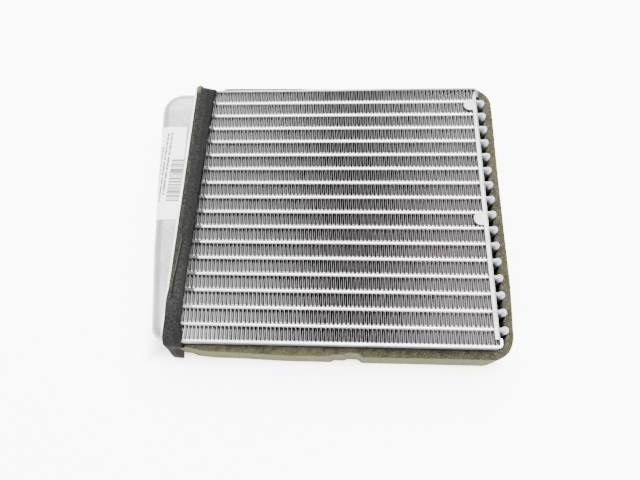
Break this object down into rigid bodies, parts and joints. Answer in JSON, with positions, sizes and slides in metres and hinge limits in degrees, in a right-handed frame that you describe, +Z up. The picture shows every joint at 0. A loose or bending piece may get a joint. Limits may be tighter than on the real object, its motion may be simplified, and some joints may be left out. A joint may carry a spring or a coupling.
{
  "type": "heater core",
  "caption": "Flat brazed aluminium heater core with folded air fins between flat tubes, a tapered end tank, turning bulbs and foam seals round its edges.",
  "frame": {"origin": "middle of the base, on the surface that the core lies on", "axes": "+X along the tubes from the tank to the turning bulbs, +Y towards the far side plate, where the tank is deepest, +Z up through the front face"},
  "size_m": [0.2224, 0.1814, 0.0396],
  "materials": {
    "tube": "bright brazed aluminium",
    "fin": "thin folded sheet, satin",
    "side_plate": "rolled sheet, satin",
    "end_plate": "pressed sheet, satin",
    "header": "pressed sheet, dull where brazed",
    "tank": "pressed sheet, matt",
    "baffle": "sheet",
    "port_collar": "turned",
    "dark_foam": "charcoal open foam, worn",
    "olive_foam": "olive foam with a skin on its outer face",
    "label": null
  },
  "bodies": {
    "root": {"tube_01": "tube", "tube_02": "tube", "tube_03": "tube", "tube_04": "tube", "tube_05": "tube", "tube_06": "tube", "tube_07": "tube", "tube_08": "tube", "tube_09": "tube", "tube_10": "tube", "tube_11": "tube", "tube_12": "tube", "tube_13": "tube", "tube_14": "tube", "tube_15": "tube", "tube_16": "tube", "fin_01": "fin", "fin_02": "fin", "fin_03": "fin", "fin_04": "fin", "fin_05": "fin", "fin_06": "fin", "fin_07": "fin", "fin_08": "fin", "fin_09": "fin", "fin_10": "fin", "fin_11": "fin", "fin_12": "fin", "fin_13": "fin", "fin_14": "fin", "fin_15": "fin", "fin_16": "fin", "fin_17": "fin", "near_side_plate": "side_plate", "far_side_plate": "side_plate", "end_plate": "end_plate", "header_plate": "header", "tank": "tank", "baffle": "baffle", "port_collar_front": "port_collar", "port_collar_rear": "port_collar", "header_foam_belt": "dark_foam", "edge_foam_strip": "olive_foam", "label": "label"}
  },
  "joints": []
}
